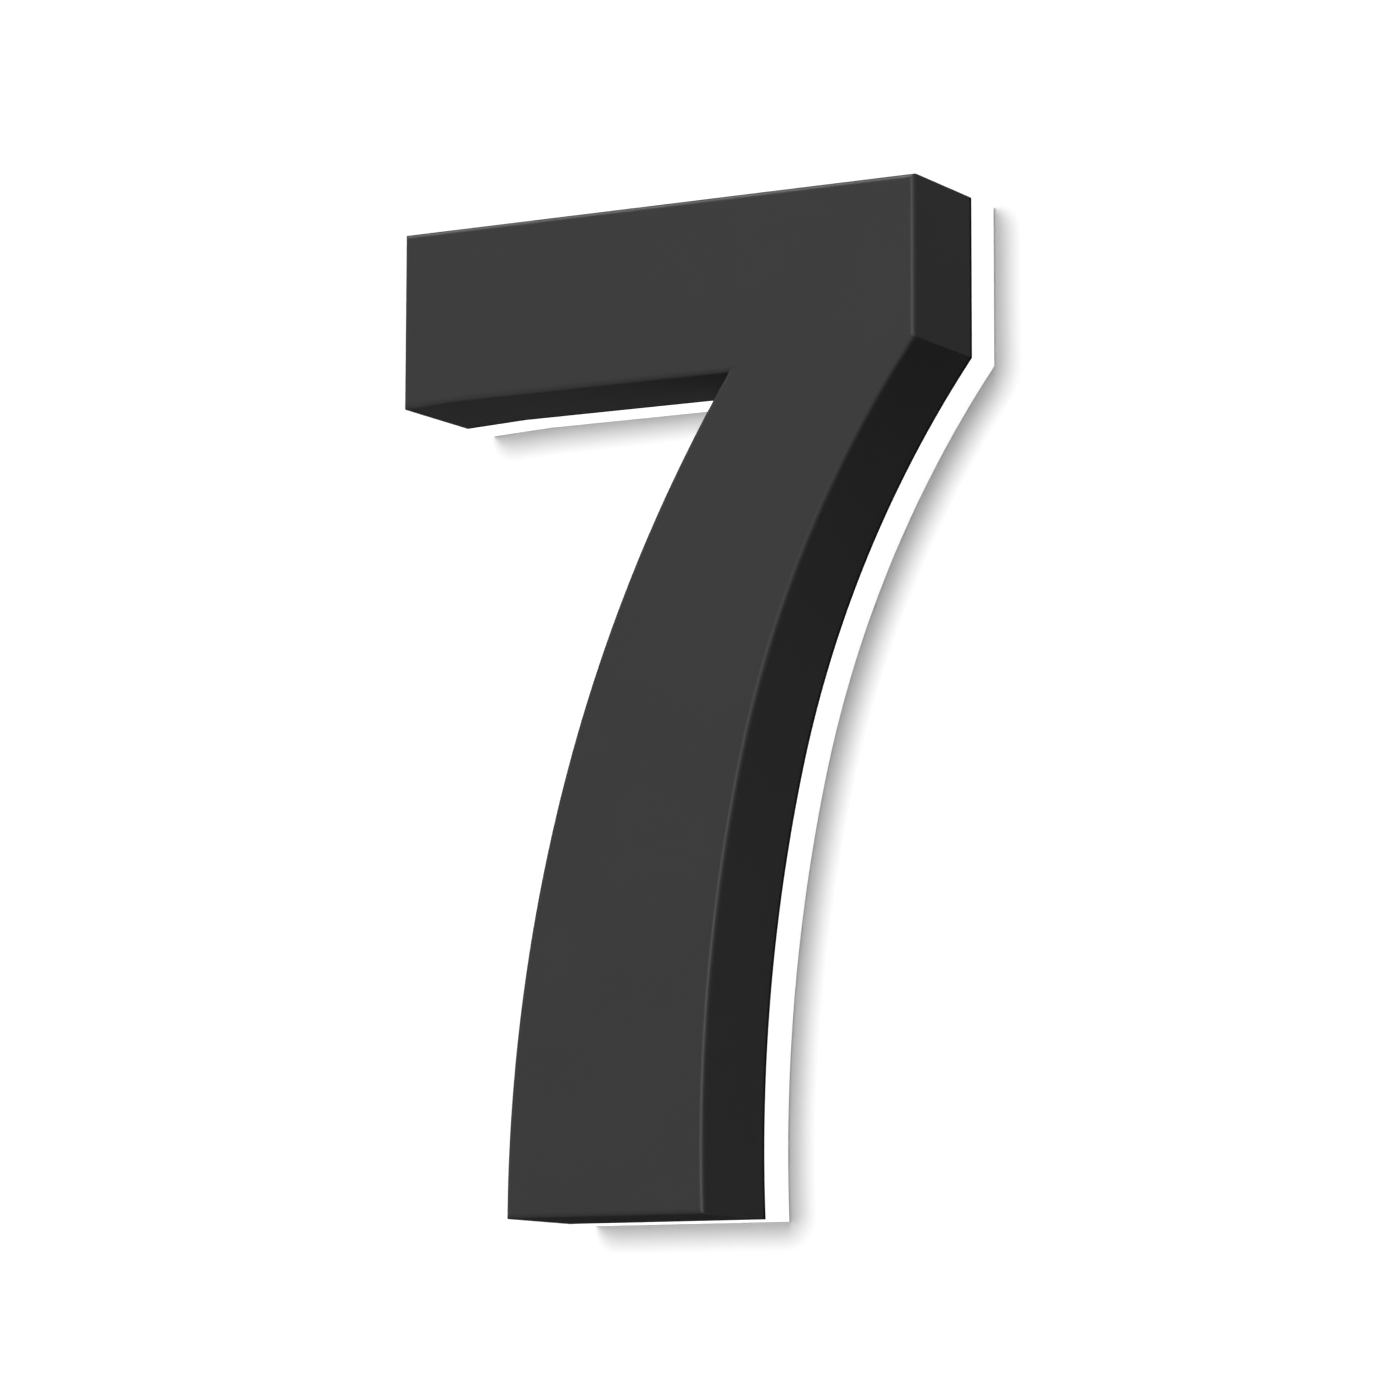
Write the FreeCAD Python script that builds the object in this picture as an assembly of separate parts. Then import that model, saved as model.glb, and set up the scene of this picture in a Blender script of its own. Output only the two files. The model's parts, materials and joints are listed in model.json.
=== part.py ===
"""Back-lit house number: the digit 7 as a black sheet-metal shell on a white acrylic base.

Millimetres. X runs to the right, Z up, and Y from the front towards the wall. The origin is the centre of the
digit's outline on the wall plane, so the sign lies at negative Y and its studs stand out at positive Y.
"""

import FreeCAD, Part
import os
from math import atan2, cos, degrees, pi, radians, sin, sqrt, tan

Vector = FreeCAD.Vector

# The digit's outline, seen from the front. Places run from the bar's left end and from the foot, and the
# stem's edges lean to the left of straight down by so many degrees where they start and end.
DIGIT_HEIGHT = 200.0
DIGIT_WIDTH = 116.2
BAR_HEIGHT = 35.4
BAR_TIP_DROOP = 0.6
BAR_TIP_LENGTH = 14.0
SHOULDER_HEIGHT = 32.15
NECK_WIDTH = 41.2
FOOT_LEFT = 25.5
FOOT_WIDTH = 44.6
OUTER_TOP_LEAN = 37.7
OUTER_FOOT_LEAN = -2.4
INNER_TOP_LEAN = 33.9
INNER_FOOT_LEAN = 0.2

# The shell: a face with a bent strip welded behind it.
SHELL_DEPTH = 25.0
FACE_SHEET = 1.5
FACE_EDGE_RADIUS = 1.0
RETURN_SHEET = 1.0

# The acrylic base: the layer in view, and a spigot that reaches into the shell inside a bead of silicone.
ACRYLIC_DEPTH = 10.0
SPIGOT_DEPTH = 2.0
SEAL_WIDTH = 0.5

# M4 weld studs on the back of the face, with the washers and nuts that hold the base.
STUD_RADIUS = 2.0
THREAD_PITCH_RADIUS = 1.77
STUD_LENGTH = 60.0
STUD_TIP_CHAMFER = 0.5
STUD_FLANGE_RADIUS = 2.75
STUD_FLANGE_THICKNESS = 0.8
STUD_INSET = 10.5
STUD_HOLE_CLEARANCE = 0.25
WASHER_RADIUS = 4.5
WASHER_THICKNESS = 0.8
WASHER_CLEARANCE = 0.15
NUT_ACROSS_FLATS = 7.0
NUT_HEIGHT = 3.2
NUT_RECESS = 0.5
COUNTERBORE_CLEARANCE = 1.5

# The rubber bush that lets the supply lead through the base.
BUSH_BORE_RADIUS = 2.5
BUSH_WALL = 1.25
BUSH_FLANGE_WIDTH = 1.75
BUSH_FLANGE_THICKNESS = 1.5
BUSH_CLEARANCE = 0.05
BUSH_OFFSET = 12.0
BUSH_HEIGHT = 24.0

# The lamp modules: a row along the bar, then a row down the middle of the stem to the terminal block. The
# rows' margins run to the middles of their end modules.
BAR_MODULES = 3
STEM_MODULES = 5
BAR_ROW_LEFT_MARGIN = 32.0
BAR_ROW_RIGHT_MARGIN = 32.2
STEM_ROW_DROP = 11.6
STEM_ROW_LIFT = 23.0
MODULE_LENGTH = 16.0
MODULE_WIDTH = 9.0
MODULE_HEIGHT = 4.5
MODULE_CORNER_BEVEL = 1.2
MODULE_STEP_LENGTH = 2.0
MODULE_STEP_DEPTH = 0.8
PAD_THICKNESS = 0.8
PAD_INSET = 0.8
END_WALL = 3.5
SIDE_WALL = 1.2
FLOOR_THICKNESS = 1.7
BOARD_THICKNESS = 1.0
BOARD_CLEARANCE = 0.1
CHIP_SIZE = 2.8
CHIP_HEIGHT = 0.7
CHIP_CLEARANCE = 0.3
OPTIC_LENGTH = 6.4
OPTIC_WIDTH = 5.0
OPTIC_RISE = 1.8
OPTIC_BEVEL = 1.0

# The two cores that link the modules, and the cap on their cut end.
CORE_RADIUS = 0.75
CORE_SPACING = 2.4
BEND_STEP = 16.0
SOCKET_CLEARANCE = 0.1
STUB_LENGTH = 5.5
CAP_OVERLAP = 4.0
CAP_END = 1.2
CAP_WALL = 0.4

# The two-pole terminal block where the supply lead joins the chain.
TERMINAL_HEIGHT_ABOVE_FOOT = 26.0
TERMINAL_PITCH = 5.0
TERMINAL_LENGTH = 12.0
TERMINAL_WIDTH = 11.0
TERMINAL_HEIGHT = 8.0
TERMINAL_STEP_LENGTH = 2.5
TERMINAL_STEP_DEPTH = 2.6
CLAMP_LENGTH = 6.0
CLAMP_WALL = 0.6
CLAMP_WINDOW = 2.6
CLAMP_THREAD_DEPTH = 1.6
CLAMP_CLEARANCE = 0.05
SCREW_RADIUS = 1.25
SCREW_HEAD_RADIUS = 1.7
SCREW_HEAD_HEIGHT = 1.4
SCREW_LIFT = 0.4
SCREW_SLOT_WIDTH = 0.5
SCREW_SLOT_DEPTH = 0.6
WELL_CLEARANCE = 0.2

# Levels along Y, from the wall to the front.
WALL = 0.0
SHELL_BACK = WALL - ACRYLIC_DEPTH
SPIGOT_FRONT = SHELL_BACK - SPIGOT_DEPTH
FACE_FRONT = SHELL_BACK - SHELL_DEPTH
FACE_BACK = FACE_FRONT + FACE_SHEET
NUT_BACK = WALL - NUT_RECESS
NUT_FRONT = NUT_BACK - NUT_HEIGHT
WASHER_FRONT = NUT_FRONT - WASHER_THICKNESS

# Heights above the back of the face, for what is stuck to it.
MODULE_FLOOR = PAD_THICKNESS + FLOOR_THICKNESS
MODULE_TOP = PAD_THICKNESS + MODULE_HEIGHT
BOARD_TOP = MODULE_FLOOR + BOARD_THICKNESS
CORE_LEVEL = MODULE_FLOOR + BOARD_THICKNESS / 2
TERMINAL_TOP = PAD_THICKNESS + TERMINAL_HEIGHT
WINDOW_BOTTOM = CORE_LEVEL - CORE_RADIUS
WINDOW_TOP = WINDOW_BOTTOM + CLAMP_WINDOW
CLAMP_BOTTOM = WINDOW_BOTTOM - CLAMP_WALL
CLAMP_TOP = WINDOW_TOP + CLAMP_THREAD_DEPTH

POCKET_LENGTH = MODULE_LENGTH - 2 * END_WALL
POCKET_WIDTH = MODULE_WIDTH - 2 * SIDE_WALL
BOARD_WIDTH = POCKET_WIDTH - 2 * BOARD_CLEARANCE

INWARD = Vector(0, 1, 0)
MITRED_TURNS = 1
SAME_LEVEL = 1e-6
STRAIGHT = 1e-5
SHEET_SHARE = 0.8


# Lines and arcs in the plane of the digit

def at(x, z):
    """The point x to the right of the bar's left end and z above the foot, on the wall plane."""
    return Vector(x - DIGIT_WIDTH / 2, WALL, z - DIGIT_HEIGHT / 2)


def downward(lean):
    """The direction straight down, turned to the left by lean degrees."""
    return Vector(-sin(radians(lean)), 0, -cos(radians(lean)))


def arc_from(start, heading, end):
    """The arc that leaves start along heading and ends at end, or a line where these are in line."""
    chord = end - start
    turn = heading.getAngle(chord)
    if turn < STRAIGHT:
        return Part.LineSegment(start, end).toShape()
    side = heading - chord * (heading.dot(chord) / chord.dot(chord))
    middle = (start + end) / 2 + side.normalize() * (chord.Length / 2 * tan(turn / 2))
    return Part.Arc(start, middle, end).toShape()


def arc_joint(start, heading, end, final_heading):
    """Where two tangent arcs that leave start and reach end meet, and their heading there.

    The arcs' control legs, from each end to the corner of its two tangents, are of one length.
    """
    chord = end - start
    both = heading + final_heading
    forward = chord.dot(both)
    leg = chord.dot(chord) / (forward + sqrt(forward ** 2 + (4 - both.dot(both)) * chord.dot(chord)))
    first_corner = start + heading * leg
    second_corner = end - final_heading * leg
    return (first_corner + second_corner) / 2, (second_corner - first_corner).normalize()


def path_edges(path):
    """The lines and arcs through a path of points, each given with the heading there."""
    return [arc_from(start, heading, end) for (start, heading), (end, _) in zip(path, path[1:])]


def straight(start, end):
    """A straight path."""
    heading = (end - start).normalize()
    return [(start, heading), (end, heading)]


def beside(path, side):
    """A path moved to its left as seen from the front, with its arcs about the same centres."""
    return [(point + heading.cross(INWARD) * side, heading) for point, heading in path]


def reverse(path):
    """A path the other way."""
    return [(point, -heading) for point, heading in reversed(path)]


# The digit's outline

def outer_edge():
    """The stem's right-hand edge, two tangent arcs from the shoulder down to the foot."""
    shoulder = at(DIGIT_WIDTH, DIGIT_HEIGHT - SHOULDER_HEIGHT), downward(OUTER_TOP_LEAN)
    foot = at(FOOT_LEFT + FOOT_WIDTH, 0), downward(OUTER_FOOT_LEAN)
    return [shoulder, arc_joint(*shoulder, *foot), foot]


def inner_edge():
    """The stem's left-hand edge, two tangent arcs from the inner corner down to the foot."""
    corner = at(DIGIT_WIDTH - NECK_WIDTH, DIGIT_HEIGHT - BAR_HEIGHT), downward(INNER_TOP_LEAN)
    foot = at(FOOT_LEFT, 0), downward(INNER_FOOT_LEAN)
    return [corner, arc_joint(*corner, *foot), foot]


def sides():
    """The digit's sides as paths, clockwise from the inner corner."""
    outer, inner = outer_edge(), inner_edge()
    underside = DIGIT_HEIGHT - BAR_HEIGHT
    bar = [
        inner[0][0],
        at(BAR_TIP_LENGTH, underside),
        at(0, underside - BAR_TIP_DROOP),
        at(0, DIGIT_HEIGHT),
        at(DIGIT_WIDTH, DIGIT_HEIGHT),
        outer[0][0],
    ]
    sole = straight(outer[-1][0], inner[-1][0])
    return [straight(start, end) for start, end in zip(bar, bar[1:])] + [outer, sole, reverse(inner)]


def crossing(edge, following):
    """Where the lines or circles of two edges cross, nearest to the end of the first."""
    end = edge.Vertexes[-1].Point
    points = [Vector(p.X, p.Y, p.Z) for p in edge.Curve.intersectCC(following.Curve)]
    return min(points, key=end.distanceToPoint)


def retraced(edge, start, end):
    """An edge with new ends on its own line or circle."""
    if isinstance(edge.Curve, Part.Line):
        return Part.makeLine(start, end)
    middle = edge.valueAt((edge.FirstParameter + edge.LastParameter) / 2)
    return Part.Arc(start, middle, end).toShape()


def outline(inset):
    """The digit on the wall plane, drawn in by inset all round with its corners kept sharp."""
    drawn_in = [path_edges(beside(side, -inset)) for side in sides()]
    corners = [crossing(side[-1], after[0]) for side, after in zip(drawn_in, drawn_in[1:] + drawn_in[:1])]
    edges = []
    for side, start, end in zip(drawn_in, corners[-1:] + corners[:-1], corners):
        points = [start] + [edge.Vertexes[-1].Point for edge in side[:-1]] + [end]
        edges += [retraced(*piece) for piece in zip(side, points, points[1:])]
    return Part.Face(Part.Wire(edges))


def slab(inset, front, back):
    """A slab with the digit's outline, drawn in by inset all round, from y = front to y = back."""
    face = outline(inset)
    face.translate(INWARD * (front - WALL))
    return face.extrude(INWARD * (back - front))


# Places inside the shell

def across_stem(z):
    """The middle of the stem at height z above the foot."""
    level = Part.makeLine(at(-DIGIT_WIDTH, z), at(2 * DIGIT_WIDTH, z))
    inner = Part.Wire(path_edges(inner_edge())).distToShape(level)[1][0][0]
    outer = Part.Wire(path_edges(outer_edge())).distToShape(level)[1][0][0]
    return (inner + outer) / 2


def stem_spot(z):
    """The middle of the stem at height z, and the way down the stem there."""
    heading = across_stem(z - 1) - across_stem(z + 1)
    return across_stem(z), heading.normalize()


def spread(first, last, count):
    """So many places from first to last, evenly apart."""
    return [first + (last - first) * i / (count - 1) for i in range(count)]


def module_spots():
    """The middle of each lamp module, and the way the chain runs through it."""
    bar_middle = DIGIT_HEIGHT - BAR_HEIGHT / 2
    stem_top = DIGIT_HEIGHT - BAR_HEIGHT - STEM_ROW_DROP
    stem_end = TERMINAL_HEIGHT_ABOVE_FOOT + STEM_ROW_LIFT
    bar = [
        (at(x, bar_middle), Vector(1, 0, 0))
        for x in spread(BAR_ROW_LEFT_MARGIN, DIGIT_WIDTH - BAR_ROW_RIGHT_MARGIN, BAR_MODULES)
    ]
    return bar + [stem_spot(z) for z in spread(stem_top, stem_end, STEM_MODULES)]


def stud_centres():
    """The studs, by name: one at each end of the bar and one near the foot."""
    bar_middle = DIGIT_HEIGHT - BAR_HEIGHT / 2
    return {
        "left": at(STUD_INSET, bar_middle),
        "right": at(DIGIT_WIDTH - STUD_INSET, bar_middle),
        "foot": across_stem(STUD_INSET),
    }


def bush_centre():
    """The supply lead's way in, to the right of the terminal block."""
    return across_stem(BUSH_HEIGHT) + Vector(BUSH_OFFSET, 0, 0)


# Shapes that several pieces use

def rod(centre, radius, low, high):
    """A round bar along Y."""
    return Part.makeCylinder(radius, high - low, Vector(centre.x, low, centre.z), INWARD)


def turned(centre, profile):
    """A solid turned about the line along Y through centre; profile lists its (radius, y) corners."""
    corners = [Vector(radius, y, 0) for radius, y in profile]
    section = Part.Face(Part.makePolygon(corners + corners[:1]))
    solid = section.revolve(Vector(), INWARD, 360)
    solid.translate(Vector(centre.x, 0, centre.z))
    return solid


def block(length, width, low, high):
    """A block centred on the Y axis: length along X, width along Z, from y = low to y = high."""
    return Part.makeBox(length, high - low, width, Vector(-length / 2, low, -width / 2))


def moved(solid, along, side):
    """The solid moved along X and Z."""
    solid.translate(Vector(along, 0, side))
    return solid


def both_sides(spacing):
    """Two places so far apart, each side of the middle."""
    return (spacing / 2, -spacing / 2)


def placed(solid, spot):
    """Turns and moves a solid that was made along X on y = 0 to its spot on the back of the face."""
    centre, heading = spot
    solid.rotate(Vector(), INWARD, degrees(atan2(-heading.z, heading.x)))
    solid.translate(Vector(centre.x, FACE_BACK, centre.z))
    return solid


def spot_point(spot, along, side):
    """The point so far along the chain from a spot's middle, and to one side, at the cores' level."""
    centre, heading = spot
    local = centre + heading * along + heading.cross(INWARD) * side
    return Vector(local.x, FACE_BACK + CORE_LEVEL, local.z)


# The shell and the base

def front_face():
    """The face sheet, with its front edge rounded all the way round."""
    sheet = slab(0, FACE_FRONT, FACE_BACK)
    front = [e for e in sheet.Edges if all(abs(v.Y - FACE_FRONT) < SAME_LEVEL for v in e.Vertexes)]
    return sheet.makeFillet(min(FACE_EDGE_RADIUS, SHEET_SHARE * FACE_SHEET), front)


def return_band():
    """The strip bent round the outline behind the face."""
    return slab(0, FACE_BACK, SHELL_BACK).cut(slab(RETURN_SHEET, FACE_BACK, SHELL_BACK))


def silicone_seal():
    """The bead between the return and the spigot."""
    bead = slab(RETURN_SHEET, SPIGOT_FRONT, SHELL_BACK)
    return bead.cut(slab(RETURN_SHEET + SEAL_WIDTH, SPIGOT_FRONT, SHELL_BACK))


def acrylic_base():
    """The acrylic: full outline in view, rebated to fit the shell, bored for the studs and the bush."""
    base = slab(0, SHELL_BACK, WALL).fuse(slab(RETURN_SHEET + SEAL_WIDTH, SPIGOT_FRONT, SHELL_BACK))
    cuts = [rod(bush_centre(), bush_radius() + BUSH_CLEARANCE, SPIGOT_FRONT, WALL)]
    for centre in stud_centres().values():
        cuts.append(rod(centre, STUD_RADIUS + STUD_HOLE_CLEARANCE, SPIGOT_FRONT, WALL))
        cuts.append(rod(centre, WASHER_RADIUS + COUNTERBORE_CLEARANCE, WASHER_FRONT, WALL))
    return base.cut(cuts).removeSplitter()


# Studs, washers, nuts and the bush

def stud(centre):
    """A weld stud: a low flange and a shank of the thread's outer size, but its pitch size in the nut."""
    tip = FACE_BACK + STUD_LENGTH
    flange_top = FACE_BACK + STUD_FLANGE_THICKNESS
    return turned(centre, [
        (0, FACE_BACK),
        (STUD_FLANGE_RADIUS, FACE_BACK),
        (STUD_FLANGE_RADIUS, flange_top),
        (STUD_RADIUS, flange_top),
        (STUD_RADIUS, NUT_FRONT),
        (THREAD_PITCH_RADIUS, NUT_FRONT),
        (THREAD_PITCH_RADIUS, NUT_BACK),
        (STUD_RADIUS, NUT_BACK),
        (STUD_RADIUS, tip - STUD_TIP_CHAMFER),
        (STUD_RADIUS - STUD_TIP_CHAMFER, tip),
        (0, tip),
    ])


def washer(centre):
    """A plain washer at the bottom of its counterbore."""
    ring = rod(centre, WASHER_RADIUS, WASHER_FRONT, NUT_FRONT)
    return ring.cut(rod(centre, STUD_RADIUS + WASHER_CLEARANCE, WASHER_FRONT, NUT_FRONT))


def nut(centre):
    """A hexagon nut with two of its flats level, bored to its thread's pitch size."""
    corner = NUT_ACROSS_FLATS / sqrt(3)
    corners = [Vector(corner * cos(i * pi / 3), NUT_FRONT, corner * sin(i * pi / 3)) for i in range(6)]
    hexagon = Part.Face(Part.makePolygon(corners + corners[:1]))
    solid = hexagon.extrude(INWARD * NUT_HEIGHT)
    solid.translate(Vector(centre.x, 0, centre.z))
    return solid.cut(rod(centre, THREAD_PITCH_RADIUS, NUT_FRONT, NUT_BACK))


def bush_radius():
    """The outside of the bush's sleeve."""
    return BUSH_BORE_RADIUS + BUSH_WALL


def cable_bush():
    """A flanged rubber sleeve, its flange inside the shell and its end level with the wall."""
    flange_front = SPIGOT_FRONT - BUSH_FLANGE_THICKNESS
    return turned(bush_centre(), [
        (BUSH_BORE_RADIUS, flange_front),
        (bush_radius() + BUSH_FLANGE_WIDTH, flange_front),
        (bush_radius() + BUSH_FLANGE_WIDTH, SPIGOT_FRONT),
        (bush_radius(), SPIGOT_FRONT),
        (bush_radius(), WALL),
        (BUSH_BORE_RADIUS, WALL),
    ])


# The lamp modules, each made along X on y = 0

def module_housing():
    """The moulded case: lower at both ends, open at the top for the board, with two sockets at each end."""
    case = block(MODULE_LENGTH, MODULE_WIDTH, PAD_THICKNESS, MODULE_TOP)
    upright = [e for e in case.Edges if abs(e.Vertexes[0].Y - e.Vertexes[-1].Y) > SAME_LEVEL]
    case = case.makeChamfer(MODULE_CORNER_BEVEL, upright)
    step = block(MODULE_LENGTH, MODULE_WIDTH, MODULE_TOP - MODULE_STEP_DEPTH, MODULE_TOP)
    step = step.cut(block(MODULE_LENGTH - 2 * MODULE_STEP_LENGTH, MODULE_WIDTH, PAD_THICKNESS, MODULE_TOP))
    pocket = block(POCKET_LENGTH, POCKET_WIDTH, MODULE_FLOOR, MODULE_TOP)
    half = CORE_RADIUS + SOCKET_CLEARANCE
    sockets = [
        moved(block(END_WALL, 2 * half, CORE_LEVEL - half, CORE_LEVEL + half), along, side)
        for along in both_sides(MODULE_LENGTH - END_WALL)
        for side in both_sides(CORE_SPACING)
    ]
    return case.cut([step, pocket] + sockets)


def module_board():
    """The lamp board in its pocket, with the lamp chip in the middle."""
    board = block(POCKET_LENGTH, BOARD_WIDTH, MODULE_FLOOR, BOARD_TOP)
    return board.fuse(block(CHIP_SIZE, CHIP_SIZE, BOARD_TOP, BOARD_TOP + CHIP_HEIGHT)).removeSplitter()


def module_lens():
    """The clear cover on the board, with a raised and bevelled optic over the chip."""
    plate = block(POCKET_LENGTH, BOARD_WIDTH, BOARD_TOP, MODULE_TOP)
    optic_top = MODULE_TOP + OPTIC_RISE
    optic = block(OPTIC_LENGTH, OPTIC_WIDTH, BOARD_TOP, optic_top)
    rim = [e for e in optic.Edges if all(abs(v.Y - optic_top) < SAME_LEVEL for v in e.Vertexes)]
    optic = optic.makeChamfer(OPTIC_BEVEL, rim)
    room = CHIP_SIZE + 2 * CHIP_CLEARANCE
    hollow = block(room, room, BOARD_TOP, BOARD_TOP + CHIP_HEIGHT + CHIP_CLEARANCE)
    return plate.fuse(optic).cut(hollow).removeSplitter()


def adhesive_pad(length, width):
    """A foam pad between the face and what it holds."""
    return block(length - 2 * PAD_INSET, width - 2 * PAD_INSET, 0, PAD_THICKNESS)


# The leads

def in_steps(edge):
    """The places along a line or arc that split it into short straight steps, without its start."""
    start, end = edge.ParameterRange
    turn = degrees(edge.tangentAt(start).getAngle(edge.tangentAt(end)))
    return edge.discretize(2 + int(turn / BEND_STEP))[1:]


def eight_sided(centre, axis, radius):
    """An eight-sided outline round an axis, its flats radius away and one of them towards the face."""
    out = axis.cross(INWARD)
    corner = radius / cos(pi / 8)
    angles = [(2 * i + 1) * pi / 8 for i in range(8)]
    corners = [centre + out * (corner * cos(a)) + INWARD * (corner * sin(a)) for a in angles]
    return Part.makePolygon(corners + corners[:1])


def core(path):
    """One core along a path in the plane of the chain, with eight flats and its bends in mitred steps."""
    start, heading = path[0]
    places = [start]
    for edge in path_edges(path):
        places += in_steps(edge)
    turns = [
        place for before, place, after in zip(places, places[1:], places[2:])
        if (place - before).getAngle(after - place) > STRAIGHT
    ]
    line = Part.Wire(Part.makePolygon([start] + turns + places[-1:]))
    return line.makePipeShell([eight_sided(start, heading, CORE_RADIUS)], True, False, MITRED_TURNS)


def bent_path(way_out, way_in):
    """A path straight out of one piece, along two arcs and straight into the next."""
    return way_out + [arc_joint(*way_out[-1], *way_in[0])] + way_in


def way_through(spot, alongs, side=0):
    """The path straight through places along a spot's own line."""
    return [(spot_point(spot, along, side), spot[1]) for along in alongs]


def chain_leads(spots, side):
    """All cores on one side of the chain, with the stub at its cut end."""
    pocket, end = POCKET_LENGTH / 2, MODULE_LENGTH / 2
    paths = [way_through(spots[0], (-end - STUB_LENGTH, -pocket))]
    for spot, next_spot in zip(spots, spots[1:]):
        paths.append(bent_path(way_through(spot, (pocket, end)), way_through(next_spot, (-end, -pocket))))
    return Part.makeCompound([core(beside(path, side)) for path in paths])


def feed_lead(last_spot, terminal_spot, side, pole):
    """The core from the last module into its clamp in the terminal block."""
    way_out = way_through(last_spot, (POCKET_LENGTH / 2, MODULE_LENGTH / 2), side)
    way_in = way_through(terminal_spot, (-TERMINAL_LENGTH / 2, 0), pole)
    return core(bent_path(way_out, way_in))


def chain_end_cap():
    """The moulded cap over both stubs."""
    stub_end = -MODULE_LENGTH / 2 - STUB_LENGTH
    radius = CORE_RADIUS + CAP_WALL
    length = CAP_OVERLAP + CAP_END
    cap = block(length, CORE_SPACING + 2 * radius, CORE_LEVEL - radius, CORE_LEVEL + radius)
    cap = moved(cap, stub_end - CAP_END + length / 2, 0)
    along = [e for e in cap.Edges if abs(e.Vertexes[0].X - e.Vertexes[-1].X) > SAME_LEVEL]
    cap = cap.makeChamfer(CAP_WALL, along)
    way = Vector(1, 0, 0)
    ends = [Vector(stub_end, CORE_LEVEL, side) for side in both_sides(CORE_SPACING)]
    return cap.cut([Part.Face(eight_sided(end, way, CORE_RADIUS)).extrude(way * CAP_OVERLAP) for end in ends])


# The terminal block, made along X on y = 0

def clamp_width():
    """The brass clamp's width round its window."""
    return CLAMP_WINDOW + 2 * CLAMP_WALL


def terminal_body():
    """The insulating block: wire passages through it, clamp rooms inside and screw wells on top."""
    body = block(TERMINAL_LENGTH, TERMINAL_WIDTH, PAD_THICKNESS, TERMINAL_TOP)
    step = block(TERMINAL_LENGTH, TERMINAL_WIDTH, TERMINAL_TOP - TERMINAL_STEP_DEPTH, TERMINAL_TOP)
    kept = block(TERMINAL_LENGTH - 2 * TERMINAL_STEP_LENGTH, TERMINAL_WIDTH, PAD_THICKNESS, TERMINAL_TOP)
    cuts = [step.cut(kept)]
    for pole in both_sides(TERMINAL_PITCH):
        cuts.append(moved(block(TERMINAL_LENGTH, CLAMP_WINDOW, WINDOW_BOTTOM, WINDOW_TOP), 0, pole))
        cuts.append(rod(Vector(0, 0, pole), SCREW_HEAD_RADIUS + WELL_CLEARANCE, CLAMP_TOP, TERMINAL_TOP))
        room = block(
            CLAMP_LENGTH + 2 * CLAMP_CLEARANCE,
            clamp_width() + 2 * CLAMP_CLEARANCE,
            CLAMP_BOTTOM,
            CLAMP_TOP + CLAMP_CLEARANCE,
        )
        cuts.append(moved(room, 0, pole))
    return body.cut(cuts).removeSplitter()


def terminal_clamp(pole):
    """A brass clamp: a window that the core lies in and a tapped hole for the screw."""
    clamp = block(CLAMP_LENGTH, clamp_width(), CLAMP_BOTTOM, CLAMP_TOP)
    window = block(CLAMP_LENGTH, CLAMP_WINDOW, WINDOW_BOTTOM, WINDOW_TOP)
    tapped = rod(Vector(), SCREW_RADIUS, WINDOW_TOP, CLAMP_TOP)
    return moved(clamp.cut([window, tapped]), 0, pole)


def terminal_screw(pole):
    """A slotted screw that bears on the core."""
    head_bottom = CLAMP_TOP + SCREW_LIFT
    head_top = head_bottom + SCREW_HEAD_HEIGHT
    shank = rod(Vector(), SCREW_RADIUS, CORE_LEVEL + CORE_RADIUS, head_bottom)
    screw = shank.fuse(rod(Vector(), SCREW_HEAD_RADIUS, head_bottom, head_top))
    slot = block(2 * SCREW_HEAD_RADIUS, SCREW_SLOT_WIDTH, head_top - SCREW_SLOT_DEPTH, head_top)
    return moved(screw.cut(slot), 0, pole)


# All pieces by name

def pieces():
    """Every sub-part of the sign."""
    parts = {
        "front_face": front_face(),
        "return_band": return_band(),
        "acrylic_base": acrylic_base(),
        "silicone_seal": silicone_seal(),
        "cable_bush": cable_bush(),
    }
    for name, centre in stud_centres().items():
        parts[f"stud_{name}"] = stud(centre)
        parts[f"washer_{name}"] = washer(centre)
        parts[f"nut_{name}"] = nut(centre)
    spots = module_spots()
    for number, spot in enumerate(spots, 1):
        parts[f"module_{number}_housing"] = placed(module_housing(), spot)
        parts[f"module_{number}_board"] = placed(module_board(), spot)
        parts[f"module_{number}_lens"] = placed(module_lens(), spot)
        parts[f"module_{number}_pad"] = placed(adhesive_pad(MODULE_LENGTH, MODULE_WIDTH), spot)
    terminal_spot = stem_spot(TERMINAL_HEIGHT_ABOVE_FOOT)
    sides, poles = both_sides(CORE_SPACING), both_sides(TERMINAL_PITCH)
    for polarity, side, pole in zip(("positive", "negative"), sides, poles):
        parts[f"chain_leads_{polarity}"] = chain_leads(spots, side)
        parts[f"feed_lead_{polarity}"] = feed_lead(spots[-1], terminal_spot, side, pole)
    parts["chain_end_cap"] = placed(chain_end_cap(), spots[0])
    parts["terminal_body"] = placed(terminal_body(), terminal_spot)
    parts["terminal_clamps"] = placed(Part.makeCompound([terminal_clamp(p) for p in poles]), terminal_spot)
    parts["terminal_screws"] = placed(Part.makeCompound([terminal_screw(p) for p in poles]), terminal_spot)
    parts["terminal_pad"] = placed(adhesive_pad(TERMINAL_LENGTH, TERMINAL_WIDTH), terminal_spot)
    return parts


def main():
    os.makedirs("parts", exist_ok=True)
    for name, shape in pieces().items():
        shape.exportStep(f"parts/{name}.step")


main()
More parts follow.
